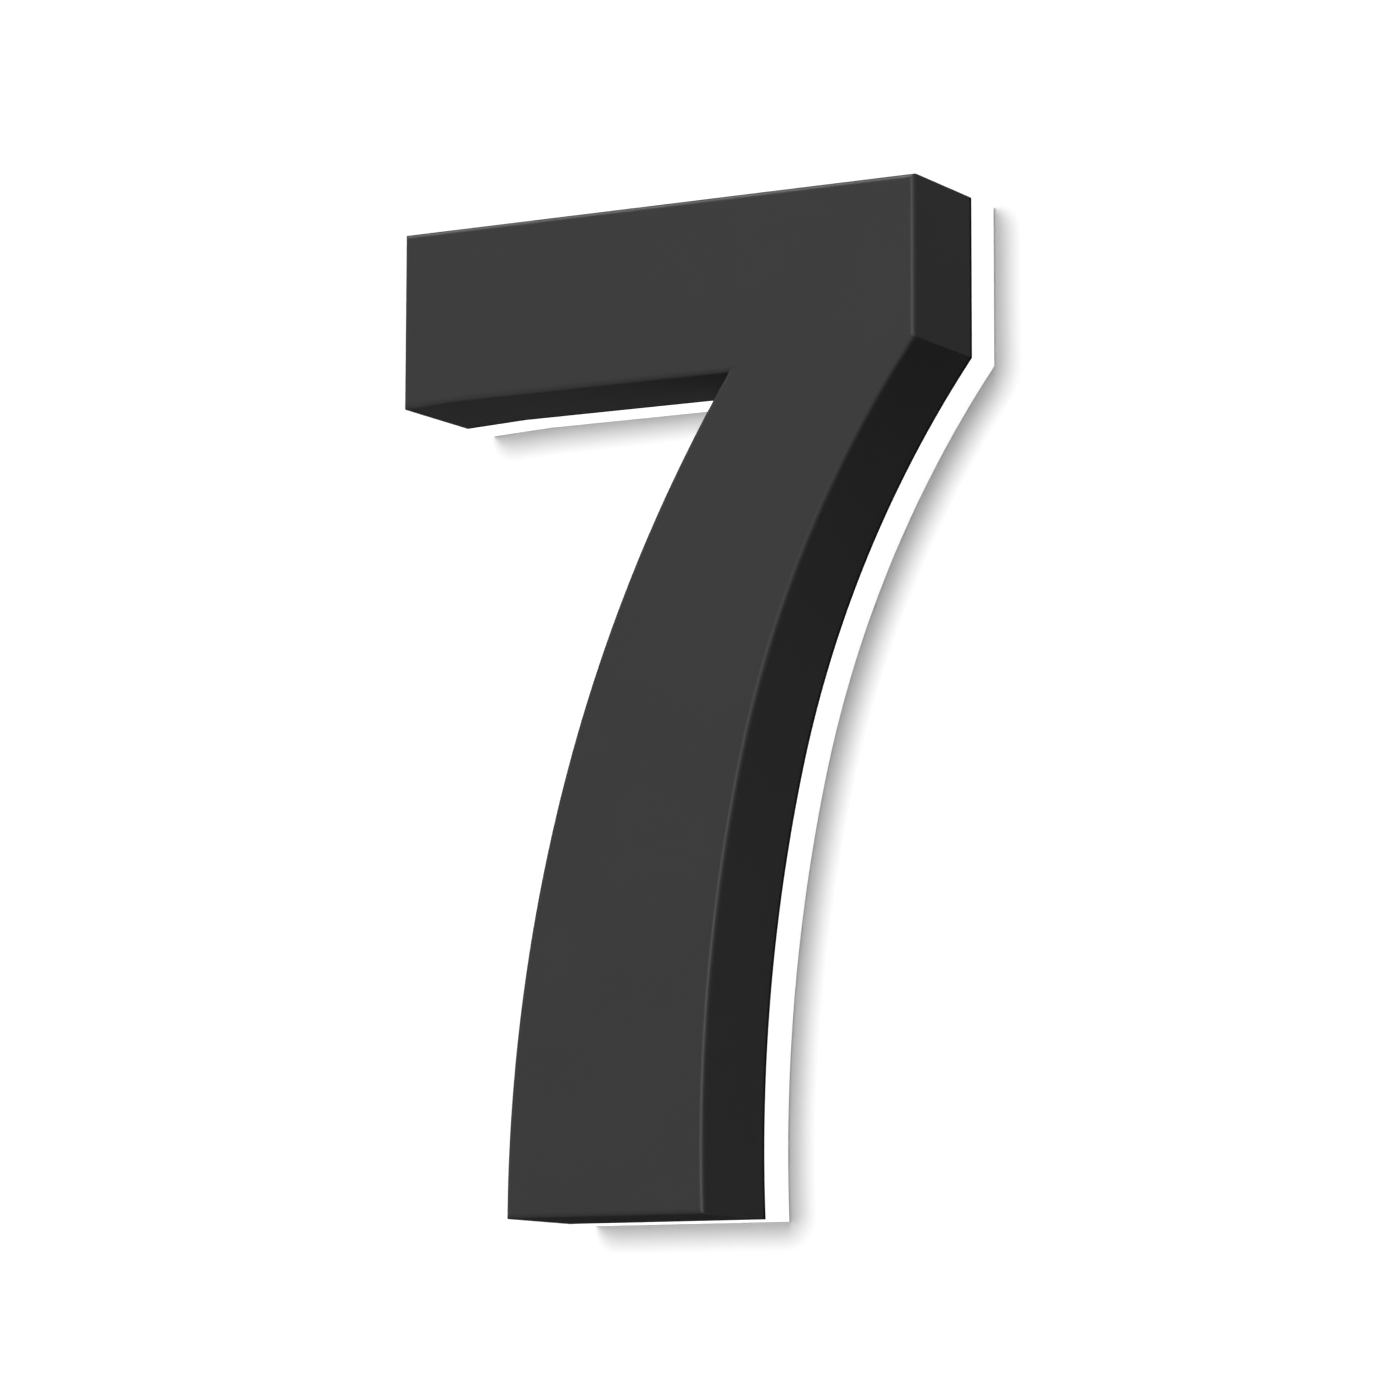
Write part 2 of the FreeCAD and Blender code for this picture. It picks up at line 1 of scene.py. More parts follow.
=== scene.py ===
"""The looks of the back-lit house number: a black powder-coated 7 on its white acrylic base, on a wall.

The frame is in metres: X to the right, Z up, the wall plane at y = 0, and the sign in front of it at
negative y with its studs behind it at positive y. Sizes below are in millimetres, and MM turns them into
metres where a mesh is made.
"""

import json
from math import atan2, cos, pi, radians, sin, sqrt, tan

import bpy
from mathutils import Matrix, Vector
from mathutils.geometry import tessellate_polygon


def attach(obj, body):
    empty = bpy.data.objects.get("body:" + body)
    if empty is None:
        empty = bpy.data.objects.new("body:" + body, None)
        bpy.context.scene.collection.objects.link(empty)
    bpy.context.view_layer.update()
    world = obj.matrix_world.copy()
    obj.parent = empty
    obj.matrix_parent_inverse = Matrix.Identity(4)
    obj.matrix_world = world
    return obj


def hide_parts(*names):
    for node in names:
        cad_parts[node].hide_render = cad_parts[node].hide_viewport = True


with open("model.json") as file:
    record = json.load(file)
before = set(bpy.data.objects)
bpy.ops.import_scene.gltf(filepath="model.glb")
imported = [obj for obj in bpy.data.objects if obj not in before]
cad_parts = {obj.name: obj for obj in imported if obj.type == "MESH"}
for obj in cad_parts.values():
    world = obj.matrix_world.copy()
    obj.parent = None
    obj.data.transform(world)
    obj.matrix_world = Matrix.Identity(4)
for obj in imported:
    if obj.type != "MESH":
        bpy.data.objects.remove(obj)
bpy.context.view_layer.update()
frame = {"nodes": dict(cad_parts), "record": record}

MM = 0.001

# The digit's outline, seen from the front. Places run from the bar's left end and from the foot, and the
# stem's edges lean to the left of straight down by so many degrees where they start and end.
DIGIT_HEIGHT = 200.0
DIGIT_WIDTH = 116.2
BAR_HEIGHT = 35.4
BAR_TIP_DROOP = 0.6
BAR_TIP_LENGTH = 14.0
SHOULDER_HEIGHT = 32.15
NECK_WIDTH = 41.2
FOOT_LEFT = 25.5
FOOT_WIDTH = 44.6
OUTER_TOP_LEAN = 37.7
OUTER_FOOT_LEAN = -2.4
INNER_TOP_LEAN = 33.9
INNER_FOOT_LEAN = 0.2

# Levels along Y, from the wall to the front.
WALL = 0.0
SHELL_BACK = -10.0
SPIGOT_FRONT = -12.0
FACE_BACK = -33.5
FACE_FRONT = -35.0

# The shell's and the base's sections.
EDGE_RADIUS = 1.0
RETURN_SHEET = 1.0
SPIGOT_INSET = 1.5
ACRYLIC_EDGE = 0.25

# The dark line of painted shade along the return's back edge, where it meets the base, and the width
# over which it fades, and the glow of the base away from its rim, as a share of the rim's.
PAINTED_SHADE_LINE = 0.7
PAINTED_SHADE_FADE = 0.3
GLOW_LAYER = "glow"
INNER_GLOW = 0.42

# M4 studs, nuts and washers.
BAR_STUD_INSET = 10.5
STUD_RADIUS = 2.0
STUD_TIP = 26.5
STUD_TIP_RADIUS = 1.5
STUD_FLANGE_RADIUS = 2.75
STUD_FLANGE_BACK = -32.7
STUD_HOLE_RADIUS = 2.25
THREAD_PITCH = 0.7
THREAD_ROOT_RADIUS = 1.57
NUT_ACROSS_FLATS = 7.0
NUT_FRONT = -3.7
NUT_BACK = -0.5
NUT_BORE_RADIUS = 1.77
NUT_MOUTH_RADIUS = 2.15
NUT_FACE_RADIUS = 3.3
NUT_CHAMFER = radians(30)
WASHER_FRONT = -4.5
WASHER_RADIUS = 4.5
WASHER_BORE_RADIUS = 2.15
WASHER_EDGE = 0.2
COUNTERBORE_RADIUS = 6.0

# One pitch of the thread: how far along it, and how far up from its root to its crest.
THREAD_PROFILE = ((0, 0), (0.125, 0), (0.5, 1), (0.625, 1), (1, 0))

# The rubber bush.
BUSH_OFFSET = 12.0
BUSH_HEIGHT = 24.0
BUSH_BORE_RADIUS = 2.5
BUSH_SLEEVE_RADIUS = 3.75
BUSH_HOLE_RADIUS = 3.8
BUSH_FLANGE_RADIUS = 5.5
BUSH_FRONT = -13.5
BUSH_EDGE = 0.5

# How finely curves are cut, the bend below which a skin is shaded smoothly, and the decimals of a
# millimetre to which two points are the same.
ARC_STEPS = 36
FILLET_STEPS = 6
ROUND_STEPS = 72
THREAD_STEPS = 24
SMOOTH_BELOW = radians(40)
POINT_DECIMALS = 4

# The photograph's viewpoint, in degrees and millimetres.
CAMERA_AZIMUTH = 29.334
CAMERA_ELEVATION = -7.837
CAMERA_ROLL = 0.126
CAMERA_DISTANCE = 1159.2
CAMERA_TARGET = (-8.69, 0, 5.57)
CAMERA_LENS = 147.44
CAMERA_SENSOR = 36

# The stage: a wall just behind the base and a floor below it.
WALL_GAP = 0.4
STAGE_REACH = 4500
WALL_TOP = 5000
FLOOR_LEVEL = -620

# The stage's paint as it is seen and as it lights the sign, the glow that lifts each part of the stage
# to white, and the room's light where it isn't seen.
STAGE_ALBEDO = 1.0
STAGE_BOUNCE = 0.38
WALL_LIFT = 0.08
FLOOR_LIFT = 0.55
AMBIENT = 0.11

# The finishes' noise: its detail, its swing either side of its middle, and a slow drift's features to
# the metre.
NOISE_DETAIL = 3
NOISE_SWING = 0.25
DRIFT_SCALE = 40


# Meshes

class Shape:
    """A mesh in the making, in millimetres, with a normal at each corner of each face."""

    def __init__(self):
        self.points, self.faces, self.normals, self.known = [], [], [], {}

    def index(self, point):
        """The number of the point at a place, which faces share."""
        key = tuple(round(v, POINT_DECIMALS) for v in point)
        if key not in self.known:
            self.known[key] = len(self.points)
            self.points.append(Vector(point))
        return self.known[key]

    def face(self, corners):
        """Adds a face through corners given as (point, normal), unless they fall together."""
        kept = {self.index(point): normal for point, normal in corners}
        if len(kept) > 2:
            self.faces.append(list(kept))
            self.normals += kept.values()

    def band(self, sides, profile):
        """The skin of a profile carried round an outline."""
        for start, end in shaded(profile):
            for side in sides:
                for p, q in zip(side, side[1:]):
                    self.face([carried(p, start), carried(q, start), carried(q, end), carried(p, end)])

    def lattice(self, rows):
        """The skin over rows of points, with no normals of its own."""
        for row, following in zip(rows, rows[1:]):
            for p, q, r, s in zip(row, row[1:], following[1:], following):
                self.face([(p, None), (q, None), (r, None), (s, None)])

    def cap(self, loops, y, facing):
        """A flat face at y inside the first loop and outside the rest, facing front (-1) or back (1)."""
        flat = [[Vector((point.x, point.y, 0)) for point in loop] for loop in loops]
        corners = [point for loop in flat for point in loop]
        normal = Vector((0, facing, 0))
        for triangle in tessellate_polygon(flat):
            a, b, c = (corners[i] for i in triangle)
            order = triangle if (b - a).cross(c - b).z * facing < 0 else triangle[::-1]
            self.face([((corners[i].x, y, corners[i].y), normal) for i in order])

    def build(self, name, smooth_below=None):
        """The object, shaded with its own normals or smoothly where it bends less than an angle."""
        mesh = bpy.data.meshes.new(name)
        mesh.from_pydata([point * MM for point in self.points], [], self.faces)
        mesh.shade_smooth()
        if smooth_below:
            mesh.set_sharp_from_angle(angle=smooth_below)
        else:
            mesh.normals_split_custom_set(self.normals)
        made = bpy.data.objects.new(name, mesh)
        bpy.context.scene.collection.objects.link(made)
        return made


def shaded(profile):
    """A profile's runs as pairs of (point, normal), blended where the profile bends gently.

    The profile is a list of (outward, y) points that runs from the front over the outside to the back.
    """
    points = [Vector(point) for point in profile]
    runs = list(zip(points, points[1:]))
    own = [Vector((end.y - start.y, start.x - end.x)).normalized() for start, end in runs]
    closed = points[0] == points[-1]
    result = []
    for i, (start, end) in enumerate(runs):
        before = own[i - 1] if i or closed else own[i]
        after = own[(i + 1) % len(own)] if closed or i + 1 < len(own) else own[i]
        ends = []
        for other in (before, after):
            gentle = own[i].angle(other) < SMOOTH_BELOW
            ends.append((own[i] + other if gentle else own[i]).normalized())
        result.append(((start, ends[0]), (end, ends[1])))
    return result


def carried(place, profile_place):
    """A profile's point and normal at one place of an outline."""
    (point, spread, outward), ((out, y), (bend, tilt)) = place, profile_place
    flat = point + spread * out
    return (flat.x, y, flat.y), Vector((outward.x * bend, tilt, outward.y * bend))


def fillet(corner, start, end, radius):
    """The points of a rounded corner of a profile, from the start's side to the end's."""
    corner = Vector(corner)
    before, after = (Vector(start) - corner).normalized(), (Vector(end) - corner).normalized()
    half = before.angle(after) / 2
    centre = corner + (before + after).normalized() * (radius / sin(half))
    first, last = (corner + way * (radius / tan(half)) - centre for way in (before, after))
    span = first.angle(last)
    shares = [i / FILLET_STEPS for i in range(FILLET_STEPS + 1)]
    return [centre + (first * sin(span * (1 - t)) + last * sin(span * t)) / sin(span) for t in shares]


# The digit's outline

def at(x, z):
    """The point x to the right of the bar's left end and z above the foot."""
    return Vector((x - DIGIT_WIDTH / 2, z - DIGIT_HEIGHT / 2))


def downward(lean):
    """The direction straight down, turned to the left by lean degrees."""
    return Vector((-sin(radians(lean)), -cos(radians(lean))))


def arc_joint(start, heading, end, final_heading):
    """Where two tangent arcs that leave start and reach end meet, and their heading there."""
    chord = end - start
    both = heading + final_heading
    forward = chord.dot(both)
    leg = chord.dot(chord) / (forward + sqrt(forward ** 2 + (4 - both.dot(both)) * chord.dot(chord)))
    first_corner = start + heading * leg
    second_corner = end - final_heading * leg
    return (first_corner + second_corner) / 2, (second_corner - first_corner).normalized()


def along_arc(start, heading, end):
    """Points and headings along the arc that leaves start along heading and ends at end."""
    chord = end - start
    turn = 2 * atan2(heading.cross(chord), heading.dot(chord))
    steps = []
    for i in range(ARC_STEPS + 1):
        part = turn * i / ARC_STEPS
        half = Matrix.Rotation(part / 2, 2)
        reach = chord.length * sin(part / 2) / sin(turn / 2)
        steps.append((start + half @ heading * reach, half @ half @ heading))
    return steps


def curved_edge(start, start_lean, end, end_lean):
    """A stem edge: two tangent arcs, as points and headings from the top down."""
    heading, final_heading = downward(start_lean), downward(end_lean)
    joint, joint_heading = arc_joint(start, heading, end, final_heading)
    return along_arc(start, heading, joint) + along_arc(joint, joint_heading, end)[1:]


def mitre(normal, other):
    """How far a corner moves as both of its sides move outward by one."""
    return (normal + other) / (1 + normal.dot(other))


def digit_sides():
    """The digit's sides clockwise from the inner corner, as (point, mitred outward vector, normal)."""
    underside = DIGIT_HEIGHT - BAR_HEIGHT
    corner = at(DIGIT_WIDTH - NECK_WIDTH, underside)
    shoulder = at(DIGIT_WIDTH, DIGIT_HEIGHT - SHOULDER_HEIGHT)
    foot_left, foot_right = at(FOOT_LEFT, 0), at(FOOT_LEFT + FOOT_WIDTH, 0)
    bar = [
        corner,
        at(BAR_TIP_LENGTH, underside),
        at(0, underside - BAR_TIP_DROOP),
        at(0, DIGIT_HEIGHT),
        at(DIGIT_WIDTH, DIGIT_HEIGHT),
        shoulder,
    ]
    outer = curved_edge(shoulder, OUTER_TOP_LEAN, foot_right, OUTER_FOOT_LEAN)
    inner = curved_edge(corner, INNER_TOP_LEAN, foot_left, INNER_FOOT_LEAN)
    sides = [[(p, (q - p).normalized()), (q, (q - p).normalized())] for p, q in zip(bar, bar[1:])]
    sides += [outer, [(foot_right, Vector((-1, 0))), (foot_left, Vector((-1, 0)))]]
    sides.append([(point, -heading) for point, heading in reversed(inner)])
    facing = [[(point, Vector((-heading.y, heading.x))) for point, heading in side] for side in sides]
    result = []
    for before, side, after in zip(facing[-1:] + facing[:-1], facing, facing[1:] + facing[:1]):
        spreads = [normal for _, normal in side]
        spreads[0], spreads[-1] = mitre(before[-1][1], spreads[0]), mitre(spreads[-1], after[0][1])
        result.append([(point, spread, normal) for (point, normal), spread in zip(side, spreads)])
    return result


def stem_middle(z):
    """The middle of the stem at height z above the foot."""
    level = at(0, z).y
    outer, _, inner = DIGIT[-3:]
    ends = []
    for side in (outer, inner):
        points = [point for point, _, _ in side]
        for p, q in zip(points, points[1:]):
            if min(p.y, q.y) <= level < max(p.y, q.y):
                ends.append(p.lerp(q, (level - p.y) / (q.y - p.y)))
    return (ends[0] + ends[1]) / 2


def spokes(steps):
    """Directions all round, clockwise, the first one again at the end."""
    return [Vector((cos(2 * pi * i / steps), -sin(2 * pi * i / steps))) for i in range(steps + 1)]


def circle(centre, steps=ROUND_STEPS):
    """An outline for profiles whose outward places are radii."""
    return [[(centre, spoke, spoke) for spoke in spokes(steps)]]


def loop(sides, out=0):
    """The closed line at one outward place of an outline."""
    return [point + spread * out for side in sides for point, spread, _ in side[:-1]]


DIGIT = digit_sides()
STUDS = {
    "left": at(BAR_STUD_INSET, DIGIT_HEIGHT - BAR_HEIGHT / 2),
    "right": at(DIGIT_WIDTH - BAR_STUD_INSET, DIGIT_HEIGHT - BAR_HEIGHT / 2),
    "foot": stem_middle(BAR_STUD_INSET),
}
BUSH = stem_middle(BUSH_HEIGHT) + Vector((BUSH_OFFSET, 0))


# The sign's pieces

def face_plate():
    """The face sheet with its rounded front edge."""
    shape = Shape()
    edge = fillet((0, FACE_FRONT), (-1, FACE_FRONT), (0, FACE_BACK), EDGE_RADIUS)
    shape.band(DIGIT, edge + [(0, FACE_BACK)])
    shape.cap([loop(DIGIT, -EDGE_RADIUS)], FACE_FRONT, -1)
    shape.cap([loop(DIGIT)], FACE_BACK, 1)
    return shape.build("face_plate")


def return_strip():
    """The strip behind the face."""
    shape = Shape()
    shape.band(DIGIT, [
        (-RETURN_SHEET, FACE_BACK),
        (0, FACE_BACK),
        (0, SHELL_BACK),
        (-RETURN_SHEET, SHELL_BACK),
        (-RETURN_SHEET, FACE_BACK),
    ])
    return shape.build("return_strip")


def acrylic_layer():
    """The acrylic base with its spigot, its stud holes and counterbores and the bush's hole.

    Its glow is strongest round the rim.
    """
    shape = Shape()
    shape.band(DIGIT, [
        (-SPIGOT_INSET, SPIGOT_FRONT),
        (-SPIGOT_INSET, SHELL_BACK),
        (0, SHELL_BACK),
        (0, WALL - ACRYLIC_EDGE),
        (-ACRYLIC_EDGE, WALL),
    ])
    rim_faces = len(shape.faces)
    front, back = [loop(DIGIT, -SPIGOT_INSET)], [loop(DIGIT, -ACRYLIC_EDGE)]
    holes = [(BUSH, [(BUSH_HOLE_RADIUS, WALL), (BUSH_HOLE_RADIUS, SPIGOT_FRONT)])]
    for centre in STUDS.values():
        holes.append((centre, [
            (COUNTERBORE_RADIUS, WALL),
            (COUNTERBORE_RADIUS, WASHER_FRONT),
            (STUD_HOLE_RADIUS, WASHER_FRONT),
            (STUD_HOLE_RADIUS, SPIGOT_FRONT),
        ]))
    for centre, profile in holes:
        shape.band(circle(centre), profile)
        front.append(loop(circle(centre), profile[-1][0]))
        back.append(loop(circle(centre), profile[0][0]))
    shape.cap(front, SPIGOT_FRONT, -1)
    shape.cap(back, WALL, 1)
    piece = shape.build("acrylic_layer")
    shares = [1 if i < rim_faces else INNER_GLOW for i in range(len(shape.faces))]
    piece.data.attributes.new(GLOW_LAYER, "FLOAT", "FACE").data.foreach_set("value", shares)
    return piece


def threaded_stud(name, centre):
    """A weld stud: its flange, and a threaded shank with a chamfered tip."""
    shape = Shape()
    shape.band(circle(centre, THREAD_STEPS), [
        (STUD_FLANGE_RADIUS, FACE_BACK),
        (STUD_FLANGE_RADIUS, STUD_FLANGE_BACK),
        (THREAD_ROOT_RADIUS, STUD_FLANGE_BACK),
    ])
    way_round = spokes(THREAD_STEPS)[:-1]
    turns = int((STUD_TIP - STUD_FLANGE_BACK) / THREAD_PITCH) + 2
    rows = []
    for share, rise in THREAD_PROFILE:
        row = []
        for i in range(turns * THREAD_STEPS + 1):
            y = STUD_FLANGE_BACK + (i / THREAD_STEPS - 1 + share) * THREAD_PITCH
            y = min(max(y, STUD_FLANGE_BACK), STUD_TIP)
            reach = min(
                THREAD_ROOT_RADIUS + (STUD_RADIUS - THREAD_ROOT_RADIUS) * rise,
                THREAD_ROOT_RADIUS + y - STUD_FLANGE_BACK,
                STUD_TIP_RADIUS + STUD_TIP - y,
            )
            flat = centre + way_round[i % THREAD_STEPS] * reach
            row.append((flat.x, y, flat.y))
        rows.append(row)
    shape.lattice(rows)
    shape.cap([[centre + spoke * STUD_TIP_RADIUS for spoke in way_round]], STUD_TIP, 1)
    shape.cap([[centre + spoke * STUD_FLANGE_RADIUS for spoke in way_round]], FACE_BACK, -1)
    return shape.build(name, SMOOTH_BELOW)


def hexagon_nut(name, centre):
    """A hexagon nut with two flats level, with chamfered faces and chamfered mouths to its bore."""
    shape = Shape()
    mouth = NUT_MOUTH_RADIUS - NUT_BORE_RADIUS
    columns = []
    for i, spoke in enumerate(spokes(ROUND_STEPS)):
        lean = radians((i * 360 / ROUND_STEPS) % 60 - 30)
        reach = NUT_ACROSS_FLATS / 2 / cos(lean)
        chamfer = (reach - NUT_FACE_RADIUS) * tan(NUT_CHAMFER)
        column = []
        for radius, depth in (
            (NUT_BORE_RADIUS, mouth),
            (NUT_MOUTH_RADIUS, 0),
            (NUT_FACE_RADIUS, 0),
            (reach, chamfer),
        ):
            flat = centre + spoke * radius
            column.append((flat.x, depth, flat.y))
        columns.append(column)
    rows = list(zip(*columns))
    front = [[(x, NUT_FRONT + y, z) for x, y, z in row] for row in rows]
    back = [[(x, NUT_BACK - y, z) for x, y, z in row] for row in reversed(rows)]
    shape.lattice(front + back + front[:1])
    return shape.build(name, SMOOTH_BELOW)


def plain_washer(name, centre):
    """A punched washer, its edges rounded on the side towards the nut."""
    shape = Shape()
    bore, rim = (WASHER_BORE_RADIUS, NUT_FRONT), (WASHER_RADIUS, NUT_FRONT)
    front_bore, front_rim = (WASHER_BORE_RADIUS, WASHER_FRONT), (WASHER_RADIUS, WASHER_FRONT)
    shape.band(circle(centre), [
        front_bore,
        front_rim,
        *fillet(rim, front_rim, bore, WASHER_EDGE),
        *fillet(bore, rim, front_bore, WASHER_EDGE),
        front_bore,
    ])
    return shape.build(name)


def bush_sleeve():
    """The flanged rubber bush with its lips rounded."""
    shape = Shape()
    front_bore, front_rim = (BUSH_BORE_RADIUS, BUSH_FRONT), (BUSH_FLANGE_RADIUS, BUSH_FRONT)
    back_bore, back_rim = (BUSH_BORE_RADIUS, WALL), (BUSH_SLEEVE_RADIUS, WALL)
    flange_back, neck = (BUSH_FLANGE_RADIUS, SPIGOT_FRONT), (BUSH_SLEEVE_RADIUS, SPIGOT_FRONT)
    first = fillet(front_bore, back_bore, front_rim, BUSH_EDGE)
    shape.band(circle(BUSH), [
        *first,
        *fillet(front_rim, front_bore, flange_back, BUSH_EDGE),
        flange_back,
        neck,
        *fillet(back_rim, neck, back_bore, BUSH_EDGE / 2),
        *fillet(back_bore, back_rim, front_bore, BUSH_EDGE),
        first[0],
    ])
    return shape.build("bush_sleeve")


# Materials

class Tree:
    """A short way to write a node tree."""

    def __init__(self, tree):
        tree.nodes.clear()
        self.tree = tree

    def add(self, kind, inputs, **settings):
        """A node with its settings, and its inputs as values or as other nodes' outputs."""
        node = self.tree.nodes.new(kind)
        for key, value in settings.items():
            setattr(node, key, value)
        for key, value in inputs.items():
            socket = node.inputs[key]
            if isinstance(value, bpy.types.NodeSocket):
                self.tree.links.new(value, socket)
            else:
                socket.default_value = value
        return node

    def math(self, operation, *values):
        """The result of a Math node."""
        return self.add("ShaderNodeMath", dict(enumerate(values)), operation=operation).outputs[0]

    def seen(self):
        """One for what is seen directly, mirrored or through glass, and nought for other light."""
        path = self.add("ShaderNodeLightPath", {}).outputs
        mirrored = self.math("MAXIMUM", path["Is Glossy Ray"], path["Is Transmission Ray"])
        return self.math("MAXIMUM", path["Is Camera Ray"], mirrored)

    def noise(self, scale):
        """A noise over the object, scale features to the metre."""
        place = self.add("ShaderNodeTexCoord", {}).outputs["Object"]
        inputs = {"Vector": place, "Scale": scale, "Detail": NOISE_DETAIL}
        return self.add("ShaderNodeTexNoise", inputs).outputs["Fac"]

    def spread(self, factor, low, high):
        """A colour between two, by a noise's swing round its middle."""
        ramp = self.add("ShaderNodeValToRGB", {"Fac": factor})
        first, last = ramp.color_ramp.elements
        first.position, last.position = 0.5 - NOISE_SWING, 0.5 + NOISE_SWING
        first.color, last.color = (*low, 1), (*high, 1)
        return ramp.outputs["Color"]

    def neutral(self, value):
        """A neutral colour from one output."""
        channels = {"Red": value, "Green": value, "Blue": value}
        return self.add("ShaderNodeCombineColor", channels).outputs[0]


def new_material(name):
    """A material and its empty node tree."""
    material = bpy.data.materials.new(name)
    material.use_nodes = True
    return material, Tree(material.node_tree)


FINISHES = {}


def finish(name, low, high, roughness, grain, depth, joint_shade=1, glow=None, **sockets):
    """Makes the finish of a material slot, whose tone drifts between two colours.

    Its grain, in features to the metre, shows in its bump, depth millimetres deep, and in its roughness,
    which runs between two values. A share below one leaves that share of the colour in a thin line of
    painted shade where the shell meets the base, and glow names the mesh's own values that the emission
    follows.
    """
    material, tree = new_material(name)
    fine = tree.noise(grain)
    smooth, rough = roughness
    bump = tree.add("ShaderNodeBump", {"Strength": 1.0, "Distance": depth * MM, "Height": fine})
    colour = tree.spread(tree.noise(DRIFT_SCALE), low, high)
    # Painted shade: the colour is darkened over the return's last stretch before the base.
    if joint_shade < 1:
        place = tree.add("ShaderNodeTexCoord", {}).outputs["Object"]
        level = tree.add("ShaderNodeSeparateXYZ", {"Vector": place}).outputs["Y"]
        left = tree.add("ShaderNodeMapRange", {
            "Value": level,
            "From Min": (SHELL_BACK - PAINTED_SHADE_LINE - PAINTED_SHADE_FADE) * MM,
            "From Max": (SHELL_BACK - PAINTED_SHADE_LINE) * MM,
            "To Min": 1,
            "To Max": joint_shade,
        }).outputs[0]
        dimmed = tree.add("ShaderNodeVectorMath", {0: colour, "Scale": left}, operation="SCALE")
        colour = dimmed.outputs[0]
    if glow:
        share = tree.add("ShaderNodeAttribute", {}, attribute_name=glow).outputs["Fac"]
        sockets["Emission_Color"] = tree.neutral(share)
    shader = tree.add("ShaderNodeBsdfPrincipled", {
        "Base Color": colour,
        "Roughness": tree.math("MULTIPLY_ADD", fine, rough - smooth, smooth),
        "Normal": bump.outputs["Normal"],
        **{key.replace("_", " "): value for key, value in sockets.items()},
    })
    tree.add("ShaderNodeOutputMaterial", {"Surface": shader.outputs[0]})
    FINISHES[name] = material


def grey(value):
    """A neutral colour."""
    return (value, value, value)


# The coat's colour is darkened along the return's back edge, next to the base, as painted shade.
finish("black_powder_coat", grey(0.0397), grey(0.0415), (0.38, 0.48), 2600, 0.012,
       joint_shade=0.25, Metallic=0.07, Specular_IOR_Level=0.0, Specular_Tint=(0, 0, 0, 1))
finish("opal_acrylic", (0.88, 0.88, 0.875), (0.91, 0.91, 0.905), (0.22, 0.34), 400, 0.004,
       glow=GLOW_LAYER, Emission_Strength=0.8)
finish("silicone", (0.55, 0.55, 0.53), (0.62, 0.62, 0.6), (0.3, 0.45), 900, 0.02)
finish("stainless_steel", (0.58, 0.57, 0.55), (0.66, 0.65, 0.63), (0.22, 0.4), 1800, 0.003, Metallic=1.0)
finish("black_rubber", grey(0.018), grey(0.026), (0.6, 0.8), 1500, 0.02)
finish("module_plastic", (0.72, 0.72, 0.7), (0.78, 0.78, 0.76), (0.35, 0.5), 1200, 0.008)
finish("lamp_board", (0.82, 0.72, 0.34), (0.87, 0.78, 0.4), (0.25, 0.4), 3000, 0.004)
finish("lens_plastic", (0.95, 0.96, 0.97), (1, 1, 1), (0.03, 0.08), 300, 0.001,
       Transmission_Weight=1.0, IOR=1.49)
finish("foam_pad", (0.3, 0.3, 0.31), (0.4, 0.4, 0.41), (0.8, 0.95), 2500, 0.08)
finish("red_insulation", (0.5, 0.012, 0.012), (0.58, 0.018, 0.016), (0.3, 0.42), 900, 0.01)
finish("black_insulation", grey(0.016), grey(0.022), (0.3, 0.42), 900, 0.01)
finish("heat_shrink", grey(0.014), grey(0.02), (0.45, 0.6), 1100, 0.015)
finish("terminal_plastic", (0.7, 0.67, 0.58), (0.76, 0.73, 0.64), (0.35, 0.5), 1100, 0.01)
finish("brass", (0.72, 0.5, 0.22), (0.8, 0.58, 0.28), (0.25, 0.4), 1600, 0.004, Metallic=1.0)
finish("plated_steel", (0.6, 0.6, 0.58), (0.7, 0.7, 0.68), (0.2, 0.35), 1600, 0.003, Metallic=1.0)


# The stage, the light and the camera

def direction(azimuth, elevation):
    """The unit vector from the sign towards an azimuth and elevation in degrees; 0, 0 is the front."""
    a, e = radians(azimuth), radians(elevation)
    return Vector((sin(a) * cos(e), -cos(a) * cos(e), sin(e)))


def stage_material(name, lift):
    """Matt paint, lifted to white by a glow where it is seen, and clear from behind.

    It sends less light to the sign than it shows, as a wall in a large room does, and casts no shadow.
    """
    material, tree = new_material(name)
    seen = tree.seen()
    shade = tree.math("MULTIPLY_ADD", seen, STAGE_ALBEDO - STAGE_BOUNCE, STAGE_BOUNCE)
    paint = tree.add("ShaderNodeBsdfDiffuse", {"Color": tree.neutral(shade)}).outputs[0]
    glow = tree.add("ShaderNodeEmission", {"Strength": tree.math("MULTIPLY", seen, lift)}).outputs[0]
    front = tree.add("ShaderNodeAddShader", {0: paint, 1: glow}).outputs[0]
    behind = tree.add("ShaderNodeNewGeometry", {}).outputs["Backfacing"]
    shadow = tree.add("ShaderNodeLightPath", {}).outputs["Is Shadow Ray"]
    clear = tree.math("MAXIMUM", behind, shadow)
    nothing = tree.add("ShaderNodeBsdfTransparent", {}).outputs[0]
    shown = tree.add("ShaderNodeMixShader", {0: clear, 1: front, 2: nothing}).outputs[0]
    tree.add("ShaderNodeOutputMaterial", {"Surface": shown})
    return material


def stage_plane(name, corners, material):
    """A flat stage piece through four corners."""
    mesh = bpy.data.meshes.new(name)
    mesh.from_pydata([Vector(corner) * MM for corner in corners], [], [(0, 1, 2, 3)])
    mesh.materials.append(material)
    plane = bpy.data.objects.new(name, mesh)
    bpy.context.scene.collection.objects.link(plane)


